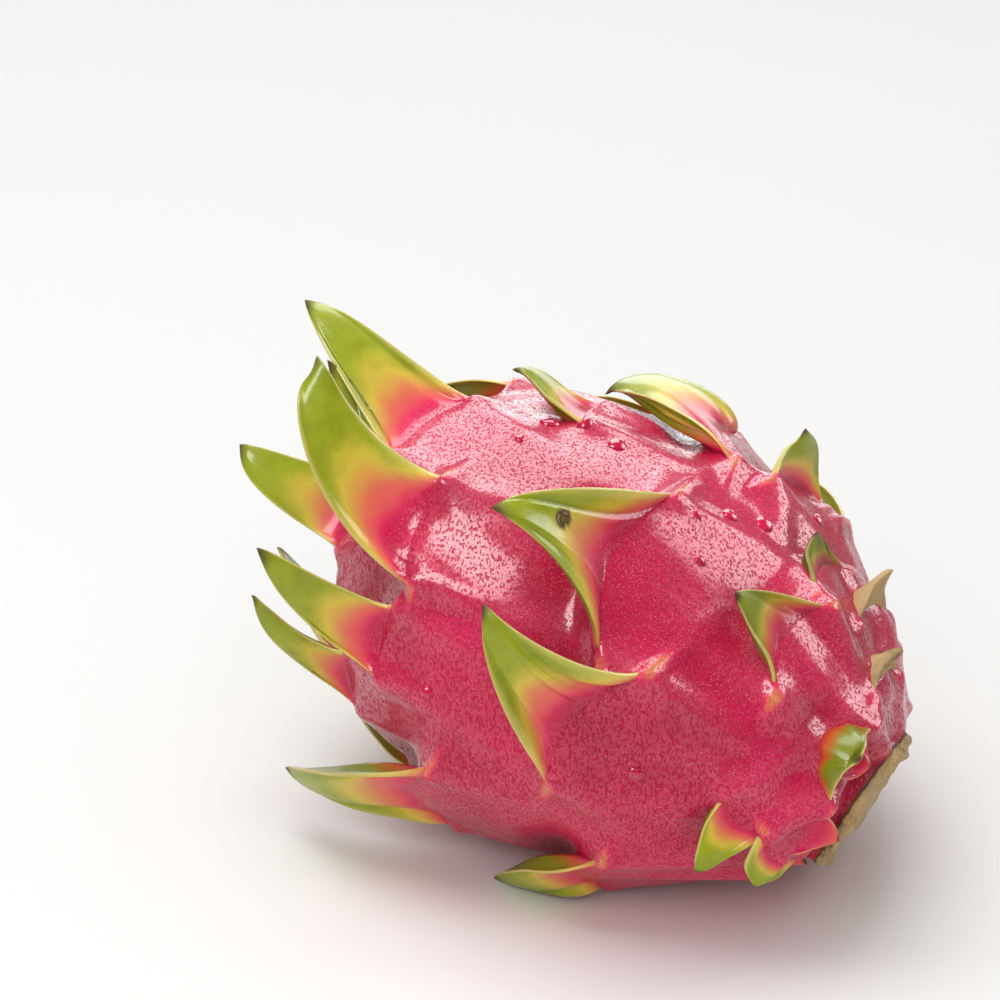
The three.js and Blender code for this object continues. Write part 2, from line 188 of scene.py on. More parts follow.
# Water drops on the skin: along and around in degrees, radius and height in mm. The along radius is
# the length of skin for a radian along the body.
DROPS = (
    (56.5, -15.5, 1.5, 0.8), (62.0, 2.8, 1.9, 0.9), (69.0, 0.0, 1.4, 0.7), (77.0, 0.5, 1.6, 0.8),
    (103.5, 1.4, 1.5, 0.9), (108.5, -7.0, 1.6, 0.9), (117.0, 80.2, 1.3, 0.8), (51.5, 54.8, 1.5, 0.9),
    (75.0, 90.0, 1.2, 0.7), (106.0, 21.1, 1.0, 0.6), (62.0, 17.0, 0.9, 0.5), (100.0, 12.0, 0.8, 0.5),
    (70.0, 250.0, 1.4, 0.8), (95.0, 300.0, 1.6, 0.9), (112.0, 330.0, 1.2, 0.7),
)
DROP_SINK = 0.6
DROP_SKIRT = 0.15
ALONG_RADIUS = 45.0
DROP_RINGS = 10
DROP_SIDES = 24

# Cork spot on one scale: the scale's place in the list, centre and radius in mm
SPOT_SCALE = 1
SPOT_CENTRE = np.array([10.0, -32.9, 80.6])
SPOT_RADIUS = 2.1

# Finish of the skin: noise scales per metre, from broad patches to the dark dashes in the glare, the
# depths of the bumps in metres, and the colours of a scale's rim and of its throat
BROAD_SCALE = 38
SLOW_SCALE = 130
PATCH_SCALE = 150
FILM_SCALE = 420
FINE_SCALE = 1300
DASH_SCALE = 2300
PEBBLE_DEPTH = 0.00016
FILM_DEPTH = 0.0005
SLOW_DEPTH = 0.0016
RIM_COLOUR = (0.80, 0.62, 0.22, 1)
THROAT_COLOUR = (0.55, 0.10, 0.02)

# Stage
FLOOR_HALF = 3.0
WORLD_COLOUR = (1.0, 0.99, 0.97, 1)
WORLD_STRENGTH = 0.15
SENSOR_WIDTH = 36

# Values that every point of the fruit has. Dry is cork above one.
FIELDS = ("ripe", "across", "inside", "hollow", "ridge", "dry", "blade", "wet")

# Mesh density
BODY_ROWS = 360
BODY_COLUMNS = 256
BLADE_ROWS = 44
BLADE_RING = 40
STUB_SIDES = 96
STUB_RINGS = 46
BURIED_RINGS = 6


def draw(index, salt):
    """Seeded draw between 0 and 1: the fraction of a large sine, as in the part's source."""
    x = math.sin(index * 12.9898 + salt * 78.233) * 43758.5453
    return x - math.floor(x)


def outline(along):
    """Distance along the axis and radius at an angle from the flower pole: a circle stretched to the
    length, its radius times one plus a share of the cosine, which makes it an egg."""
    x = -np.cos(along) * BODY_LENGTH / 2
    r = BODY_DIAMETER / 2 * np.sin(along) * (1 + EGG * np.cos(along))
    return x, r


ALONG_TABLE = np.linspace(0, math.pi, 361)
_x, _r = outline(ALONG_TABLE)
REACH_TABLE = np.concatenate([[0], np.cumsum(np.hypot(np.diff(_x), np.diff(_r)))])


def reach_at(along):
    """Length along the skin from the flower pole."""
    return np.interp(along, ALONG_TABLE, REACH_TABLE)


def along_at(reach):
    """The angle that belongs to a length along the skin."""
    return np.interp(reach, REACH_TABLE, ALONG_TABLE)


def wrapped(angle):
    """The same angle between minus half a turn and half a turn."""
    return angle - TURN * np.round(angle / TURN)


def smooth(low, high, x):
    """Zero below low, one above high, and three t squared less two t cubed between."""
    t = np.clip((x - low) / (high - low), 0, 1)
    return t * t * (3 - 2 * t)


class Scale:
    """One leafy scale: where its root lies, how wide it is and where its tip reaches."""

    def __init__(self, number, along, around, turn, root, width, tip, rise, pitch, dried=0.0):
        self.number = number
        self.along = math.radians(along)
        self.around = math.radians(around)
        self.turn = math.radians(turn)
        self.root = root
        self.width = width
        self.tip = tip
        self.rise = math.radians(rise)
        self.pitch = math.radians(pitch)
        self.dried = dried
        self.reach = float(reach_at(self.along))

    def local(self, along, around):
        """Forward and sideways distance on the skin from the root, turned with the scale."""
        radius = outline(along)[1]
        forward = self.reach - reach_at(along)
        side = radius * wrapped(around - self.around)
        a = forward * math.cos(self.turn) + side * math.sin(self.turn)
        b = side * math.cos(self.turn) - forward * math.sin(self.turn)
        return a, b


def all_scales():
    """The placed ones from their table, the far side in rows and the lobes in a ring, with seeded
    draws."""
    out = [Scale(i, *row) for i, row in enumerate(FRONT_SCALES)]
    k = 0
    for along, first, step, count, root, width, forward, outward in BACK_ROWS:
        for i in range(count):
            a = draw(k, 1) - 0.5
            b = draw(k, 2) - 0.5
            tip = (forward * (1 + 0.2 * b), 12 * a, outward)
            place = (along + 6 * a, first + i * step + 8 * b, 20 * a)
            out.append(Scale(len(out), *place, root, width, tip, BACK_RISE, BACK_PITCH))
            k += 1
    for i in range(LOBE_COUNT):
        a = draw(i, 3) - 0.5
        b = draw(i, 4) - 0.5
        place = (LOBE_ALONG + 4 * b, LOBE_FIRST + i * LOBE_STEP + 14 * a, 180 + 30 * a)
        tip = (-LOBE_BACK - 2 * b, 4 * a, LOBE_OUTWARD + 1.5 * b)
        out.append(Scale(len(out), *place, LOBE_ROOT + b, LOBE_WIDTH, tip, LOBE_RISE, LOBE_PITCH))
    return out


SCALES = all_scales()
LAST_LEAF = len(SCALES) - LOBE_COUNT


def bow(root, q):
    """How far the root line lies behind its middle, at a share q of the root's half width: a power of q
    up to the margin and a straight line past it."""
    return ROOT_BOW * root * np.where(q < 1, q**1.6, 1 + 0.4 * (q - 1))


def wing_shape(t, q):
    """The margins run on over the skin to both sides: a narrow crest along the root line, steeper in
    front than behind, that rises at the margin and fades out past it."""
    steep = np.where(t > 0, 1.1, 2.6)
    reach = smooth(WING_START, 1.05, q) * (1 - smooth(1.1, WING_END, q))
    return np.exp(-((t / steep) ** 2)) * reach


def relief(along, around):
    """Height of the skin over the egg. Each scale adds a ramp that climbs to a crest and drops away, a
    hollow in front of the crest and a ridge behind each margin. A slow wave, a flatter place on top and
    the scar come last."""
    radius = outline(along)[1]
    h = np.zeros(np.broadcast(along, around).shape)
    for s in SCALES:
        a, b = s.local(along, around)
        q = np.abs(b) / s.root
        t = a + bow(s.root, q)
        full = min(1, s.root / SWELL_FULL)
        climb = np.maximum(0, 1 + np.minimum(t, 0) / (SWELL_LENGTH * full)) ** CLIMB_POWER
        fall = np.exp(-((np.maximum(t, 0) / (SWELL_DROP + DROP_GROWTH * q * q)) ** 2))
        h += SWELL * s.root * full**2 * np.where(t < 0, climb, fall) / (1 + (q / SWELL_SPREAD) ** 4)
        dip = ((a - HOLLOW_REACH) / HOLLOW_LENGTH) ** 2 + (b / (HOLLOW_WIDTH * s.root)) ** 2
        h -= HOLLOW_DEPTH * np.exp(-dip)
        h += RIDGE_HEIGHT * ridge_shape(s, a, b)
        h += WING_HEIGHT * min(1, s.root / WING_FULL) * wing_shape(t, q)
    h += WAVE_HEIGHT * np.sin(3 * around + 1) * np.sin(2 * along + 0.4)
    top = ((along - FLAT_ALONG) / FLAT_SIZE) ** 2 + (wrapped(around - FLAT_AROUND) / FLAT_SIZE) ** 2
    h -= FLAT_DEPTH * np.exp(-top)
    scar = SCAR_DEPTH * np.exp(-((reach_at(along) / SCAR_RADIUS) ** 2))
    return h * np.minimum(1, radius / POLE_RADIUS) ** 0.7 - scar


def ridge_shape(s, a, b):
    """A bell across each margin line, fading over the ridge's length and gone in front of the root."""
    line = s.root * (RIDGE_START - RIDGE_SPREAD * np.minimum(a, 0))
    behind = 1 / (1 + np.exp(np.clip((a + ROOT_BOW * s.root) / RIDGE_FRONT, -40, 40)))
    fade = np.clip(1 + a / RIDGE_LENGTH, 0, 1) ** 1.2 * behind
    return fade * np.exp(-(((np.abs(b) - line) / RIDGE_WIDTH) ** 2))


def root_blush(q):
    """How far the colour has turned along the root line: none in the middle, yellow at the margins."""
    return 0.03 + 0.17 * np.minimum(q, 1.1) ** 5


def skin_fields(along, around):
    """What the colours read: how near a root or margin the skin is, how deep in a scale's hollow, where shade
    is painted, and how near a ridge, where a highlight is painted.
    """
    blush = np.zeros(along.shape)
    hollow = np.zeros(along.shape)
    ridge = np.zeros(along.shape)
    for s in SCALES:
        a, b = s.local(along, around)
        q = np.abs(b) / s.root
        t = a + bow(s.root, q)
        behind = 2.6 - 1.2 * smooth(1.0, 1.2, q)
        near = np.exp(-((np.minimum(t, 0) / behind) ** 2)) * np.exp(-((np.maximum(t, 0) / 1.2) ** 2))
        full = min(1, s.root / SWELL_FULL)
        blush = np.maximum(blush, near * root_blush(q) * (1 - smooth(1.1, 1.9, q)) * full)
        # Painted shade: the skin darkens toward deep red in each scale's hollow past its crest.
        deep = smooth(0.3, 2.5, t) * np.exp(-((np.maximum(t - 3, 0) / 7.0) ** 2)) / (1 + (q / 0.9) ** 6)
        hollow = np.maximum(hollow, deep)
        # Painted highlight along the ridges behind the margins.
        ridge = np.maximum(ridge, ridge_shape(s, a, b))
    return blush, hollow, ridge


def outward_at(along, around):
    """Unit normal of the egg in the body's own frame."""
    dx = np.sin(along) * BODY_LENGTH / 2
    dr = BODY_DIAMETER / 2 * (np.cos(along) * (1 + EGG * np.cos(along)) - EGG * np.sin(along) ** 2)
    k = np.hypot(dx, dr)
    return np.stack([-dr / k, dx / k * np.cos(around), dx / k * np.sin(around)], axis=-1)


def skin(along, around, sink=0.0):
    """Point of the skin: the egg's point moved out by the relief, less how far it is sunk."""
    along, around = np.broadcast_arrays(np.asarray(along, float), np.asarray(around, float))
    x, r = outline(along)
    p = np.stack([x, r * np.cos(around), r * np.sin(around)], axis=-1)
    return p + (relief(along, around) - sink)[..., None] * outward_at(along, around)


def skin_beside(s, a, b, sink):
    """Point of the skin at a place given forward and sideways of a scale's root."""
    forward = a * math.cos(s.turn) - b * math.sin(s.turn)
    side = a * math.sin(s.turn) + b * math.cos(s.turn)
    along = along_at(s.reach - forward)
    around = s.around + side / np.maximum(outline(along)[1], 3)
    return skin(along, around, sink)


def placed(p):
    """From the body's frame to the part's: the axis turns into an arc past the bend's start, then the
    body is tipped and set in place, and nothing goes below the table."""
    c, s = math.cos(STEM_BEND_TOWARD), math.sin(STEM_BEND_TOWARD)
    x = p[..., 0]
    d = p[..., 1] * c + p[..., 2] * s
    e = p[..., 2] * c - p[..., 1] * s
    curve = STEM_BEND / (BODY_LENGTH / 2 - STEM_BEND_START)
    angle = curve * np.maximum(x - STEM_BEND_START, 0)
    past = x > STEM_BEND_START
    bent_x = np.where(past, STEM_BEND_START + np.sin(angle) / curve - d * np.sin(angle), x)
    bent_d = np.where(past, (1 - np.cos(angle)) / curve + d * np.cos(angle), d)
    up = bent_d * c - e * s
    front = bent_d * s + e * c
    q = BODY_MIDDLE + bent_x[..., None] * AXIS + up[..., None] * UPWARD + front[..., None] * FRONT
    q[..., 2] = np.maximum(q[..., 2], 0)
    return q


def tube_faces(rows, ring):
    """Faces of rings joined in order, with one point before the first ring and one after the last."""
    j = np.arange(ring)
    k = (j + 1) % ring
    base = 1 + np.arange(rows - 1)[:, None] * ring
    quads = np.stack([base + j, base + k, base + ring + k, base + ring + j], axis=-1).reshape(-1, 4)
    last = 1 + (rows - 1) * ring
    start = np.stack([np.zeros(ring, dtype=int), 1 + k, 1 + j], axis=-1)
    end = np.stack([np.full(ring, last + ring), last + j, last + k], axis=-1)
    return quads, np.concatenate([start, end])


def point_fields(**given):
    """The values of each point: those given, and zero for the rest."""
    return {**dict.fromkeys(FIELDS, 0.0), **given}


def mesh_from(name, shells):
    """One object from closed shells. A shell holds points in millimetres, quads, triangles and values
    for each point; faces that point inward are turned round by the sign of the shell's volume."""
    points, quads, triangles, values = [], [], [], {}
    first = 0
    for p, q, t, fields in shells:
        corners = np.concatenate([q[:, [0, 1, 2]], q[:, [0, 2, 3]], t])
        volume = np.einsum("ij,ij->i", p[corners[:, 0]], np.cross(p[corners[:, 1]], p[corners[:, 2]])).sum()
        if volume < 0:
            q, t = q[:, ::-1], t[:, ::-1]
        points.append(p)
        quads.append(q + first)
        triangles.append(t + first)
        for key, v in fields.items():
            values.setdefault(key, []).append(np.broadcast_to(v, len(p)))
        first += len(p)
    points, quads, triangles = map(np.concatenate, (points, quads, triangles))
    mesh = bpy.data.meshes.new(name)
    mesh.vertices.add(len(points))
    mesh.vertices.foreach_set("co", (points * MM).ravel())
    mesh.loops.add(quads.size + triangles.size)
    mesh.loops.foreach_set("vertex_index", np.concatenate([quads.ravel(), triangles.ravel()]))
    mesh.polygons.add(len(quads) + len(triangles))
    starts = np.concatenate([np.arange(len(quads)) * 4, quads.size + np.arange(len(triangles)) * 3])
    mesh.polygons.foreach_set("loop_start", starts)
    mesh.polygons.foreach_set("use_smooth", np.ones(len(starts), dtype=bool))
    mesh.update(calc_edges=True)
    mesh.validate()
    for key, v in values.items():
        layer = mesh.attributes.new(key, "FLOAT", "POINT")
        layer.data.foreach_set("value", np.concatenate(v).astype(np.float32))
    piece = bpy.data.objects.new(name, mesh)
    bpy.context.collection.objects.link(piece)
    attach(piece, "root")
    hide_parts("dragon_fruit")
    return piece


def body_shell():
    """The whole skin on a grid of the angle along the body and the angle around it."""
    along = np.linspace(0, math.pi, BODY_ROWS + 1)[1:-1, None]
    around = (np.arange(BODY_COLUMNS) * TURN / BODY_COLUMNS)[None]
    along, around = np.broadcast_arrays(along, around)
    grid = skin(along, around).reshape(-1, 3)
    ends = skin(np.array([0.0, math.pi]), np.zeros(2))
    points = placed(np.concatenate([ends[:1], grid, ends[1:]]))
    quads, triangles = tube_faces(BODY_ROWS - 1, BODY_COLUMNS)
    blush, hollow, ridge = (np.concatenate([[0], f.ravel(), [0]]) for f in skin_fields(along, around))
    gap = reach_at(np.array(math.pi)) - reach_at(along) + 0.5 * np.sin(5 * around) + 0.3 * np.sin(11 * around)
    cork = np.concatenate([[0], (2 - 2 * smooth(STEM_FACE - 0.5, STEM_FACE + 0.5, gap)).ravel(), [2]])
    return points, quads, triangles, point_fields(ripe=blush, hollow=hollow, ridge=ridge, dry=cork)


def drop_shell(along, around, radius, height):
    """A drop of water: a low dome, its height times a power of one less w squared over the skin at a
    share w of its radius, with its skirt sunk a little into the skin."""
    along, around = math.radians(along), math.radians(around)
    side = radius / max(float(outline(along)[1]), 5.0)
    w = np.linspace(0, 1, DROP_RINGS + 1)[1:, None]
    angle = (np.arange(DROP_SIDES) * TURN / DROP_SIDES)[None]
    far = along + w * np.cos(angle) * radius / ALONG_RADIUS
    turned = around + w * np.sin(angle) * side
    dome = height * (1 - w**2) ** 0.75 - DROP_SKIRT * w**8 + 0 * angle
    rings = skin(far, turned) + outward_at(far, turned) * dome[..., None]
    middle = skin(along, around)
    out = outward_at(np.array(along), np.array(around))
    ends = (middle + out * height)[None], (middle - out * DROP_SINK)[None]
    p = placed(np.concatenate([ends[0], rings.reshape(-1, 3), ends[1]]))
    quads, triangles = tube_faces(*rings.shape[:2])
    # The drops take a quarter of the painted hollow shade, darker red.
    return p, quads, triangles, point_fields(hollow=0.25, wet=1.0)


def blade_line(s, u):
    """The blade's middle line at the shares u, a cubic from the crest to the tip: its points, the
    directions across and above it, the way out of the skin at its root, and its tip."""
    out = outward_at(np.array(s.along), np.array(s.around))
    side = np.array([0.0, -math.sin(s.around), math.cos(s.around)])
    forward = np.cross(side, out)
    ahead = forward * math.cos(s.turn) + side * math.sin(s.turn)
    across = side * math.cos(s.turn) - forward * math.sin(s.turn)
    root = skin(s.along, s.around)
    flat = forward * s.tip[0] + side * s.tip[1]
    tip = root + flat + out * s.tip[2]
    length = np.linalg.norm(tip - root)
    leave = length * (math.cos(s.rise) * ahead + math.sin(s.rise) * out)
    arrive = ARRIVE * length * (math.cos(s.pitch) * flat / np.linalg.norm(flat) + math.sin(s.pitch) * out)
    middle = (2 * u**3 - 3 * u**2 + 1) * root + (u**3 - 2 * u**2 + u) * leave
    middle += (3 * u**2 - 2 * u**3) * tip + (u**3 - u**2) * arrive
    heading = (6 * u**2 - 6 * u) * root + (3 * u**2 - 4 * u + 1) * leave
    heading += (6 * u - 6 * u**2) * tip + (3 * u**2 - 2 * u) * arrive
    heading /= np.linalg.norm(heading, axis=1, keepdims=True)
    wide = across - (heading @ across)[:, None] * heading
    wide /= np.linalg.norm(wide, axis=1, keepdims=True)
    return middle, wide, np.cross(heading, wide), out, tip


def blade_fields(s, p, u, v, under):
    """What the colours read on a blade, from its points between the first and the last, the share u of the
    way to its tip, the share v of the way to its margins and how far round to its inner face they are."""
    shape = u.shape

    def field(values, first, last):
        return np.concatenate([[first], (values * np.ones(shape)).ravel(), [last]])

    ripe = root_blush(np.abs(v) * (1 + CORNER)) * (1 - u) + u * (0.95 + 0.35 * v**2 * (1 - u))
    if s.number >= LAST_LEAF:
        ripe = 0.3 * ripe
    dry = smooth(0.86 - 0.10 * draw(s.number, 8), 0.99, u + 0.04 * v)
    dry = np.maximum(dry, 2 * s.dried * smooth(0.0, 0.3, u + 0.25))
    if s.number == SPOT_SCALE:
        gap = np.linalg.norm(p - SPOT_CENTRE, axis=1).reshape(shape)
        spot = 1 - smooth(SPOT_RADIUS - 0.7, SPOT_RADIUS, gap)
        dry = np.maximum(dry, 1.5 * spot * (1 - 0.6 * smooth(0.5, 1.4, SPOT_RADIUS - gap)))
    return point_fields(
        ripe=field(ripe, 0, 1), across=field(v, 0, 0), inside=field(under, 0, 0.5), dry=field(dry, 0, 1),
        blade=field(smooth(0.0, 0.15, u), 0, 1),
    )


def blade_shell(s):
    """One scale on a grid of u, the way from root to tip, and an angle round its section. The section is a
    flat ring about the middle line, whose half width follows u and whose face is cupped; its root lies on
    the skin's crest and runs back under the skin."""
    u = np.linspace(0, 1, BLADE_ROWS + 1)[:-1, None] ** 1.15
    middle, wide, lift, out, tip = blade_line(s, u)
    angle = np.arange(BLADE_RING) * TURN / BLADE_RING
    v = np.cos(angle)[None]
    under = (0.5 - 0.5 * np.sign(np.sin(angle)) * np.abs(np.sin(angle)) ** 0.45)[None]
    half = s.width * (1 - u**2) ** TAPER + (s.root - s.width) * np.exp(-u / FLARE) * (1 - u)
    half = half + CORNER * s.root * np.exp(-u / CORNER_FLARE) * (1 - u)
    mid_thick = BLADE_THIN + (BLADE_THICK - BLADE_THIN) * (1 - u) ** 2
    thick = (MARGIN_THICK + (mid_thick - MARGIN_THICK) * (1 - v**2)) * (1 - u**6) ** 0.5
    crimp = np.sin(9 * u + 5 * draw(s.number, 7) + 2 * np.sign(v))
    wave = MARGIN_WAVE * smooth(0.1, 0.5, u) * (1 - u) * crimp * v**4
    drop = (CUP + 0.1 * u) * np.minimum(half, s.width) * v**2 - wave
    q = np.abs(v[0]) * (1 + CORNER)
    beside = v[0] * (1 + CORNER) * s.root
    line = -bow(s.root, q)
    sink = ROOT_SINK + CORNER_SINK * np.abs(v[0]) ** 8
    foot = skin_beside(s, line, beside, sink)
    outer = middle[:, None] + wide[:, None] * (v * half)[..., None] - lift[:, None] * drop[..., None]
    outer += (foot - outer[0])[None] * ((1 - u) ** 3)[..., None]
    run = foot - skin_beside(s, line - 2 * SLOPE_STEP, beside, sink)
    aside = skin_beside(s, line, beside + SLOPE_STEP, 0) - skin_beside(s, line, beside - SLOPE_STEP, 0)
    normal = np.cross(aside, run)
    normal *= (np.sign(normal @ out) / np.linalg.norm(normal, axis=1))[:, None]
    slope = (outer[1] - outer[0]) / (u[1] - u[0])
    lifted = normal * np.einsum("ij,ij->i", normal, slope)[:, None]
    outer -= lifted[None] * (0.9 * u * (1 - u) ** 3)[..., None]
    points = outer - lift[:, None] * (thick * under)[..., None]

    thin = smooth(0, 1, 1 - np.abs(v[0]) ** 3)
    buried = [
        skin_beside(s, k * ROOT_REACH + line, beside * (1 + 0.1 * k),
                    sink + 1.8 * k * k + under[0] * (1.5 - 1.0 * k) * thin)
        for k in np.linspace(-1, 0, BURIED_RINGS + 1)[:-1]
    ]
    rings = np.concatenate([np.stack(buried), points])
    shape = rings.shape[:2]
    u_all = np.concatenate([np.zeros((BURIED_RINGS, 1)), u]) * np.ones(shape)
    v_all = np.ones(shape) * v
    start = rings[0].mean(axis=0)
    p = placed(np.concatenate([start[None], rings.reshape(-1, 3), tip[None]]))
    quads, triangles = tube_faces(*shape)
    return p, quads, triangles, blade_fields(s, p[1:-1], u_all, v_all, under)


def stub_shell():
    """The cork ring of the cut stem: a profile of radius and distance turned about the axis, roughened."""
    profile = np.array([
        (STUB_START, STUB_RADIUS - 1), (STUB_END - 5, STUB_RADIUS), (STUB_END - 2, STUB_RADIUS + 0.1),
        (STUB_END - 0.6, STUB_RADIUS), (STUB_END, STUB_RADIUS - 0.7), (STUB_END - 0.2, STUB_RADIUS - 1.8),
        (STUB_END - 1.0, STUB_RADIUS - 3.2), (STUB_END - 1.8, STUB_RADIUS - 4.6),
        (STUB_END - STUB_HOLLOW, STUB_RADIUS - 6.5), (STUB_END - STUB_HOLLOW, STUB_RADIUS - 10),
    ])
    t = np.linspace(0, len(profile) - 1, STUB_RINGS)
    x = np.interp(t, np.arange(len(profile)), profile[:, 0])[:, None]
    r = np.interp(t, np.arange(len(profile)), profile[:, 1])[:, None]
    angle = (np.arange(STUB_SIDES) * TURN / STUB_SIDES)[None]
    pleats = np.sin(7 * angle + 1.5 * np.sin(2 * angle) + 0.8)
    folds = STUB_FOLD * pleats * smooth(STUB_START, STUB_END - 3, x)
    rough = 0.12 * np.sin(17 * angle + 2 * np.sin(5 * angle)) + 0.10 * np.sin(31 * angle + x)
    radius = r + (folds + rough) * smooth(0, 9, r)
    far = x + 0.5 * np.sin(5 * angle + 1.0) + 0.25 * np.sin(13 * angle + 1.3 * r)
    rings = np.stack([far * np.ones(radius.shape), radius * np.cos(angle), radius * np.sin(angle)], axis=-1)
    ends = np.array([[STUB_START, 0, 0], [STUB_END - STUB_HOLLOW, 0, 0]])
    p = placed(np.concatenate([ends[:1], rings.reshape(-1, 3), ends[1:]]))
    quads, triangles = tube_faces(*rings.shape[:2])
    rim = smooth(STUB_END - 2.6, STUB_END - 0.8, far + 0.5 * rough)
    face = 1 - smooth(STUB_RADIUS - 4, STUB_RADIUS - 1.2, r)
    dead = 2 * np.maximum(rim, face) * np.ones(radius.shape)
    cork = np.concatenate([[0], dead.ravel(), [2]])
    # The stub takes some of the painted hollow shade, darker red.
    return p, quads, triangles, point_fields(ripe=0.1, hollow=0.3, dry=cork)


class Socket:
    """A node's output, or a plain number, that can be added, multiplied and so on."""

    def __init__(self, tree, value):
        self.tree = tree
        self.value = value

    def _math(self, operation, *others):
        node = self.tree.nodes.new("ShaderNodeMath")
        node.operation = operation
        for slot, item in zip(node.inputs, others):
            item = item.value if isinstance(item, Socket) else item
            if isinstance(item, bpy.types.NodeSocket):
                self.tree.links.new(item, slot)
            else:
                slot.default_value = item
        return Socket(self.tree, node.outputs[0])

    def __add__(self, other):
        return self._math("ADD", self, other)

    def __radd__(self, other):
        return self._math("ADD", other, self)

    def __sub__(self, other):
        return self._math("SUBTRACT", self, other)

    def __rsub__(self, other):
        return self._math("SUBTRACT", other, self)

    def __mul__(self, other):
        return self._math("MULTIPLY", self, other)

    def __rmul__(self, other):
        return self._math("MULTIPLY", other, self)

    def abs(self):
        return self._math("ABSOLUTE", self)

    def max(self, other):
        return self._math("MAXIMUM", self, other)

    def min(self, other):
        return self._math("MINIMUM", self, other)

    def steps(self, low, high):
        """Zero below low, one above high, smooth between."""
        node = self.tree.nodes.new("ShaderNodeMapRange")
        node.interpolation_type = "SMOOTHSTEP"
        self.tree.links.new(self.value, node.inputs["Value"])
        node.inputs["From Min"].default_value = low
        node.inputs["From Max"].default_value = high
        return Socket(self.tree, node.outputs["Result"])


class Finish:
    """A material whose nodes are asked for by type, settings and inputs."""

    def __init__(self, name, **constants):
        self.material = bpy.data.materials.new(name)
        self.material.use_nodes = True
        self.tree = self.material.node_tree
        self.shader = self.tree.nodes["Principled BSDF"]
        for key, value in constants.items():
            self.shader.inputs[key.replace("_", " ")].default_value = value

    def node(self, kind, settings=None, output=0, **inputs):
        """Add a node, set it up, fill or link its inputs, and give back one output."""
        node = self.tree.nodes.new(kind)
        for key, value in (settings or {}).items():
            if key == "stops":
                ramp = node.color_ramp
                while len(ramp.elements) < len(value):
                    ramp.elements.new(0.5)
                for element, (place, colour) in zip(ramp.elements, value):
                    element.position = place
                    element.color = (*colour, 1)
            else:
                setattr(node, key, value)
        for key, value in inputs.items():
            numbered = key[0] == "i" and key[1:].isdigit()
            slot = node.inputs[int(key[1:]) if numbered else key.replace("_", " ")]
            value = value.value if isinstance(value, Socket) else value
            if isinstance(value, bpy.types.NodeSocket):
                self.tree.links.new(value, slot)
            else:
                slot.default_value = value
        return Socket(self.tree, node.outputs[output])

    def attribute(self, name):
        return self.node("ShaderNodeAttribute", {"attribute_name": name}, output="Fac")

    def place(self, turn=(0, 0, 0), size=(1, 1, 1)):
        """Object coordinates, turned and scaled."""
        spot = self.node("ShaderNodeTexCoord", output="Object")
        return self.node("ShaderNodeMapping", Vector=spot, Rotation=turn, Scale=size)

    def blend(self, factor, first, second):
        """Mix two colours by a factor."""
        settings = {"data_type": "RGBA", "clamp_factor": True}
        return self.node("ShaderNodeMix", settings, output=2, i0=factor, i6=first, i7=second)

    def noise(self, where, scale, detail, rough=0.5):
        return self.node("ShaderNodeTexNoise", Vector=where, Scale=scale, Detail=detail, Roughness=rough)

    def cells(self, where, scale):
        """Distance to the nearest of scattered points."""
        settings = {"feature": "F1"}
        return self.node("ShaderNodeTexVoronoi", settings, output="Distance", Vector=where, Scale=scale)

    def bump(self, height, distance, strength, normal=None):
        inputs = {"Height": height, "Distance": distance, "Strength": strength}
        if normal is not None:
            inputs["Normal"] = normal
        return self.node("ShaderNodeBump", **inputs)

    def feed(self, **links):
        for key, value in links.items():
            self.tree.links.new(value.value, self.shader.inputs[key.replace("_", " ")])
        return self.material


def rgb(value):
    """A colour property as a colour with full alpha."""
    return (*value[:3], 1.0)


class SkinSettings(bpy.types.PropertyGroup):
    flesh: bpy.props.FloatVectorProperty(
        name="Skin", description="Pink of the smooth skin", subtype="COLOR", size=3,
        default=(0.86, 0.005, 0.115),
    )
    # The deep red is the skin's own and also the painted shade in the hollows, the pits and the scales' inner
    # roots.
    deep: bpy.props.FloatVectorProperty(
        name="Deep skin", description="Red of the hollows", subtype="COLOR", size=3,
        default=(0.44, 0.001, 0.030),
    )
    # The pale pink is partly the skin's own specks, partly painted glints on them, and the painted highlight
    # along the ridges.
    pale: bpy.props.FloatVectorProperty(
        name="Specks", description="Pale pink of the fine specks", subtype="COLOR", size=3,
        default=(0.90, 0.24, 0.36),
    )
    salmon: bpy.props.FloatVectorProperty(
        name="Salmon", description="Foot of each scale", subtype="COLOR", size=3,
        default=(0.78, 0.16, 0.09),
    )
    yellow: bpy.props.FloatVectorProperty(
        name="Yellow", description="Lower part of each scale", subtype="COLOR", size=3,
        default=(0.72, 0.55, 0.06),
    )
    green: bpy.props.FloatVectorProperty(
        name="Green", description="Upper part of each scale", subtype="COLOR", size=3,
        default=(0.36, 0.42, 0.012),
    )
    # The inner faces' olive is darker than the outer green: partly their own colour, partly painted shade.
    inner: bpy.props.FloatVectorProperty(
        name="Inner face", description="Olive of the scales' inner faces", subtype="COLOR", size=3,
        default=(0.20, 0.23, 0.005),
    )
    tip: bpy.props.FloatVectorProperty(
        name="Dried tip", description="Brown of the dried tips", subtype="COLOR", size=3,
        default=(0.09, 0.05, 0.02),
    )
    cork: bpy.props.FloatVectorProperty(
        name="Cork", description="Tan of dried scales and the cut stem", subtype="COLOR", size=3,
        default=(0.52, 0.37, 0.18),
    )
    speck_size: bpy.props.FloatProperty(
        name="Speck spacing", description="Distance between the fine specks",
        default=0.00042, unit="LENGTH",
    )


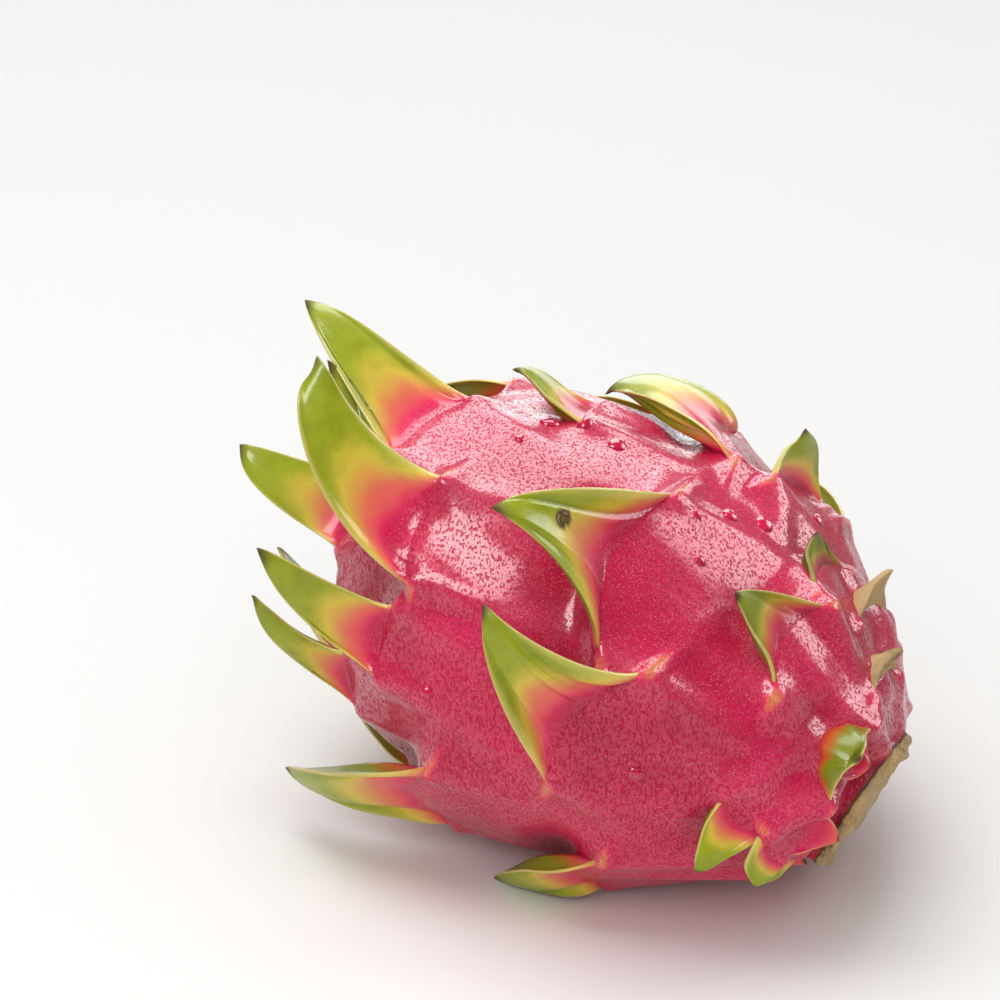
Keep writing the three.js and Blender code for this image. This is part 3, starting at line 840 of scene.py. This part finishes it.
class StageSettings(bpy.types.PropertyGroup):
    azimuth: bpy.props.FloatProperty(
        name="Azimuth", description="Camera's turn from the front",
        default=math.radians(34), subtype="ANGLE",
    )
    elevation: bpy.props.FloatProperty(
        name="Elevation", description="Camera's height angle",
        default=math.radians(27), subtype="ANGLE",
    )
    distance: bpy.props.FloatProperty(
        name="Distance", description="Camera to fruit",
        default=0.7, unit="LENGTH",
    )
    frame_width: bpy.props.FloatProperty(
        name="Frame width", description="Width seen at the fruit",
        default=0.176, unit="LENGTH",
    )
    centre: bpy.props.FloatVectorProperty(
        name="Picture place", size=2, default=(0.618, 0.640),
        description="Fruit's middle as a share of the picture, from the left and the top",
    )
    floor: bpy.props.FloatVectorProperty(
        name="Floor", description="Colour of the pale floor", subtype="COLOR", size=3,
        default=(0.86, 0.86, 0.85),
    )


def skin_finish():
    """Wet, finely pebbled skin shared by body, scales and stem. The share called ripe runs pink, salmon,
    yellow, green along a scale; the hollows and pits are painted deeper red as shade, the scales' inner faces
    are partly their own olive and partly painted shade, the ridges carry a painted highlight, and the pale
    specks are partly the skin's own and partly painted glints; specks and pebbles are cells of even size."""
    colours = bpy.context.scene.fruit_skin
    f = Finish("scaly_skin", IOR=1.28, Coat_Roughness=0.15, Subsurface_Weight=0.08, Subsurface_Scale=0.003,
               Subsurface_Radius=(1.0, 0.25, 0.2))
    ripe, across, inside, hollow, ridge, dry, blade, wet = (f.attribute(name) for name in FIELDS)
    tilt = (0, BODY_TILT, 0)
    even = f.place()
    grain = f.place(tilt, (0.45, 1, 1))
    broad = f.noise(even, BROAD_SCALE, 3.0)
    patch = f.noise(even, PATCH_SCALE, 4.0, 0.6)
    fine = f.noise(grain, FINE_SCALE, 4.0, 0.7)
    specks = f.cells(even, 1 / colours.speck_size)

    base = f.blend((broad * 1.6 - 0.45).min(1.0), rgb(colours.deep), rgb(colours.flesh))
    # Painted shade: the hollows turn deep red.
    base = f.blend(hollow * 0.85, base, rgb(colours.deep))
    # Pale specks: partly the skin's own, partly painted glints on the small bumps.
    specks_and_glints = (1.0 - specks.steps(0.04, 0.36)) * (0.25 + 0.75 * patch.steps(0.35, 0.62))
    base = f.blend(specks_and_glints * (0.9 - 0.3 * hollow), base, rgb(colours.pale))
    # Painted highlight: pale flecks along the ridges.
    base = f.blend((ridge * 0.35 * fine.steps(0.2, 0.8)).min(1.0), base, rgb(colours.pale))
    dash = f.noise(f.place((0, 0, 0.5), (1, 1, 0.5)), DASH_SCALE, 1.0, 0.5)
    pits = dash.steps(0.53, 0.60) * (1.0 - blade) * (1.0 - wet)
    # Painted shade: the pits turn a little darker red.
    base = f.blend(pits * 0.3, base, rgb(colours.deep))

    level = ripe + (broad - 0.5) * 0.16 + (patch - 0.5) * 0.10
    shade = f.node("ShaderNodeValToRGB", {"stops": [
        (0.14, tuple(colours.flesh)), (0.28, tuple(colours.salmon)), (0.42, tuple(colours.yellow)),
        (0.56, tuple(colours.green)), (1.0, tuple(0.72 * c for c in colours.green)),
    ]}, Fac=level)
    shade = f.blend(patch.steps(0.35, 0.75) * level.steps(0.3, 0.6) * 0.55, shade, rgb(colours.inner))
    outer = f.blend(level.steps(0.09, 0.26), base, shade)
    # Inner faces of the scales: deep red at the root as painted shade, then orange-red, then olive that is
    # partly their own colour and partly painted shade, darker than the outer green.
    within = f.node("ShaderNodeValToRGB", {"stops": [
        (0.12, tuple(colours.deep)), (0.26, THROAT_COLOUR), (0.42, tuple(colours.inner)),
        (1.0, tuple(0.8 * c for c in colours.inner)),
    ]}, Fac=level)
    colour = f.blend(inside.steps(0.35, 0.65) * blade, outer, within)
    rim = across.abs().steps(0.88, 1.0) * blade * (1.0 - inside.steps(0.5, 0.9))
    colour = f.blend(rim * 0.6, colour, RIM_COLOUR)
    cork = f.blend(patch.steps(0.25, 0.5), rgb(colours.tip), rgb(colours.cork))
    brown = f.blend(dry.steps(1.0, 1.6), rgb(colours.tip), cork)
    colour = f.blend((dry * (0.6 + 0.8 * patch)).min(1.0), colour, brown)

    domes = 1.0 - specks.steps(0.0, 0.5)
    height = domes * 0.5 - pits * 0.9 + fine * 0.3
    normal = f.bump(height, PEBBLE_DEPTH, (1.0 - 0.6 * blade) * (1.0 - 0.9 * wet))
    film = f.noise(grain, FILM_SCALE, 3.0, 0.6)
    normal = f.bump(film, FILM_DEPTH, (0.5 - 0.3 * blade) * (1.0 - wet), normal)
    slow = f.noise(f.place(tilt, (0.35, 1, 1)), SLOW_SCALE, 3.0, 0.55)
    normal = f.bump(slow, SLOW_DEPTH, 0.5 - 0.3 * blade, normal)
    rough = 0.32 + 0.16 * (fine - 0.5) + 0.4 * dry.min(1.0) + 0.25 * pits + 0.03 * blade - 0.2 * wet
    coat = ((0.75 - 0.35 * blade + 0.25 * wet) * (1.0 - 0.9 * pits) - dry).max(0.0)
    return f.feed(Base_Color=colour, Normal=normal, Roughness=rough, Coat_Weight=coat)


def plain_finish(name, colour, roughness):
    """One even colour, for the stage."""
    f = Finish(name, Base_Color=colour, Roughness=roughness, Specular_IOR_Level=0.1)
    return f.material


def fruit_piece(name, shells):
    """A piece of the fruit from closed shells, with the finish that all its pieces share."""
    piece = mesh_from(name, shells)
    piece.data.materials.append(bpy.data.materials.get("scaly_skin") or skin_finish())


class FRUIT_OT_body(bpy.types.Operator):
    """Make the smooth swollen body of the fruit and the water drops on it"""
    bl_idname = "fruit.body"
    bl_label = "Body"

    def execute(self, context):
        fruit_piece("fruit_body", [body_shell(), *(drop_shell(*d) for d in DROPS)])
        return {"FINISHED"}


class FRUIT_OT_scales(bpy.types.Operator):
    """Make every leafy scale and lobe"""
    bl_idname = "fruit.scales"
    bl_label = "Scales"

    def execute(self, context):
        fruit_piece("fruit_scales", [blade_shell(s) for s in SCALES])
        return {"FINISHED"}


class FRUIT_OT_stem(bpy.types.Operator):
    """Make the corky stub of the cut stem"""
    bl_idname = "fruit.stem"
    bl_label = "Cut stem"

    def execute(self, context):
        fruit_piece("cut_stem", [stub_shell()])
        return {"FINISHED"}


class FRUIT_OT_stage(bpy.types.Operator):
    """Make the pale floor, the soft lights and the camera"""
    bl_idname = "fruit.stage"
    bl_label = "Stage"

    def execute(self, context):
        stage = context.scene.fruit_stage
        corners = [(x * FLOOR_HALF, y * FLOOR_HALF, 0) for x, y in ((-1, -1), (1, -1), (1, 1), (-1, 1))]
        mesh = bpy.data.meshes.new("floor")
        mesh.from_pydata(corners, [], [(0, 1, 2, 3)])
        floor = bpy.data.objects.new("floor", mesh)
        context.collection.objects.link(floor)
        floor.data.materials.append(plain_finish("pale_floor", rgb(stage.floor), 0.9))

        world = bpy.data.worlds.new("soft_room")
        context.scene.world = world
        world.use_nodes = True
        background = world.node_tree.nodes["Background"].inputs
        background["Color"].default_value = WORLD_COLOUR
        background["Strength"].default_value = WORLD_STRENGTH
        for name, way, far, width, height, power in LIGHTS:
            light = bpy.data.lights.new(name, "AREA")
            light.shape = "RECTANGLE"
            light.size = width
            light.size_y = height
            light.energy = power
            lamp = bpy.data.objects.new(name, light)
            aim = np.array(way) / np.linalg.norm(way)
            lamp.location = aim * far
            lamp.rotation_euler = (math.acos(aim[2]), 0, math.atan2(aim[1], aim[0]) + math.pi / 2)
            lamp.visible_glossy = name.endswith("card")
            lamp.visible_diffuse = name.endswith("fill")
            context.collection.objects.link(lamp)

        a, e = stage.azimuth, stage.elevation
        look = np.array([-math.sin(a) * math.cos(e), math.cos(a) * math.cos(e), -math.sin(e)])
        right = np.array([math.cos(a), math.sin(a), 0])
        up = np.cross(right, look)
        aside = (stage.centre[0] - 0.5) * stage.frame_width
        below = (stage.centre[1] - 0.5) * stage.frame_width
        camera = bpy.data.cameras.new("camera")
        camera.sensor_width = SENSOR_WIDTH
        camera.lens = SENSOR_WIDTH * stage.distance / stage.frame_width
        view = bpy.data.objects.new("camera", camera)
        view.location = BODY_MIDDLE * MM - look * stage.distance - right * aside + up * below
        view.rotation_euler = (math.pi / 2 - e, 0, a)
        context.collection.objects.link(view)
        context.scene.camera = view
        context.scene.view_settings.view_transform = "Standard"
        return {"FINISHED"}


class FRUIT_PT_panel(bpy.types.Panel):
    bl_label = "Dragon fruit"
    bl_idname = "FRUIT_PT_panel"
    bl_space_type = "VIEW_3D"
    bl_region_type = "UI"
    bl_category = "Fruit"

    def draw(self, context):
        for name in STEPS:
            self.layout.operator(f"fruit.{name}")
        for settings in (context.scene.fruit_skin, context.scene.fruit_stage):
            for key in settings.bl_rna.properties.keys():
                if key not in {"rna_type", "name"}:
                    self.layout.prop(settings, key)


STEPS = ("body", "scales", "stem", "stage")
CLASSES = (
    SkinSettings, StageSettings, FRUIT_OT_body, FRUIT_OT_scales, FRUIT_OT_stem, FRUIT_OT_stage,
    FRUIT_PT_panel,
)


def register():
    for c in CLASSES:
        bpy.utils.register_class(c)
    bpy.types.Scene.fruit_skin = bpy.props.PointerProperty(type=SkinSettings)
    bpy.types.Scene.fruit_stage = bpy.props.PointerProperty(type=StageSettings)


def unregister():
    del bpy.types.Scene.fruit_skin
    del bpy.types.Scene.fruit_stage
    for c in reversed(CLASSES):
        bpy.utils.unregister_class(c)


def main():
    """Make every piece in order."""
    register()
    bpy.ops.fruit.body()
    bpy.ops.fruit.scales()
    bpy.ops.fruit.stem()
    bpy.ops.fruit.stage()


if __name__ == "__main__":
    main()
